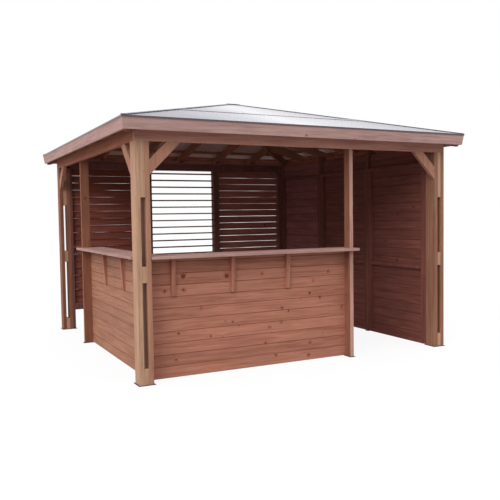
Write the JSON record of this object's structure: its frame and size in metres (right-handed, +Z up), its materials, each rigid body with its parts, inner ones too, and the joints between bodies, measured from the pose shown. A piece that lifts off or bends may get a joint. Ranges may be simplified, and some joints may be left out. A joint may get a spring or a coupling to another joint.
{
  "type": "timber pool house",
  "caption": "Open timber garden pavilion with a corner bar on two sides, a closed right wall, a louvred back wall and a low four-sided roof",
  "frame": {"origin": "centre of the plan, on the ground", "axes": "+X along the front from left to right, +Y from the front to the louvred back wall, +Z up"},
  "size_m": [4, 4, 2.9659],
  "materials": {
    "post_timber": "rough-sawn, brown-red stain, satin",
    "frame_timber": "planed, brown-red stain, satin",
    "fascia_timber": "planed, brown-red stain, satin",
    "panel_timber": "planed boards, brown-red stain, satin",
    "louvre_timber": "planed, dark brown stain, satin",
    "counter_timber": "planed, brown stain, satin",
    "roof_sheet": "grey, satin",
    "plate_steel": "dark, matt"
  },
  "bodies": {
    "root": {"bar_frames": "panel_timber", "beam_back": "frame_timber", "beam_front": "frame_timber", "beam_left": "frame_timber", "beam_right": "frame_timber", "counter_brackets": "counter_timber", "fascia_back": "fascia_timber", "fascia_front": "fascia_timber", "fascia_left": "fascia_timber", "fascia_right": "fascia_timber", "foot_plates": "plate_steel", "front_bar_boards": "panel_timber", "front_counter": "counter_timber", "front_mid_post": "post_timber", "hip_rafters": "frame_timber", "jack_rafters": "frame_timber", "king_block": "frame_timber", "knee_braces": "frame_timber", "left_bar_boards": "panel_timber", "left_counter": "counter_timber", "left_mid_post": "post_timber", "louvre_frame_left": "louvre_timber", "louvre_frame_middle": "louvre_timber", "louvre_frame_right": "louvre_timber", "louvre_slats_left": "louvre_timber", "louvre_slats_middle": "louvre_timber", "louvre_slats_right": "louvre_timber", "post_back_left": "post_timber", "post_back_right": "post_timber", "post_front_left": "post_timber", "post_front_right": "post_timber", "post_spacer_blocks": "post_timber", "right_mid_posts": "post_timber", "right_wall_boards": "panel_timber", "right_wall_frames": "panel_timber", "roof_back": "roof_sheet", "roof_battens": "frame_timber", "roof_caps": "roof_sheet", "roof_front": "roof_sheet", "roof_left": "roof_sheet", "roof_right": "roof_sheet"}
  },
  "joints": []
}
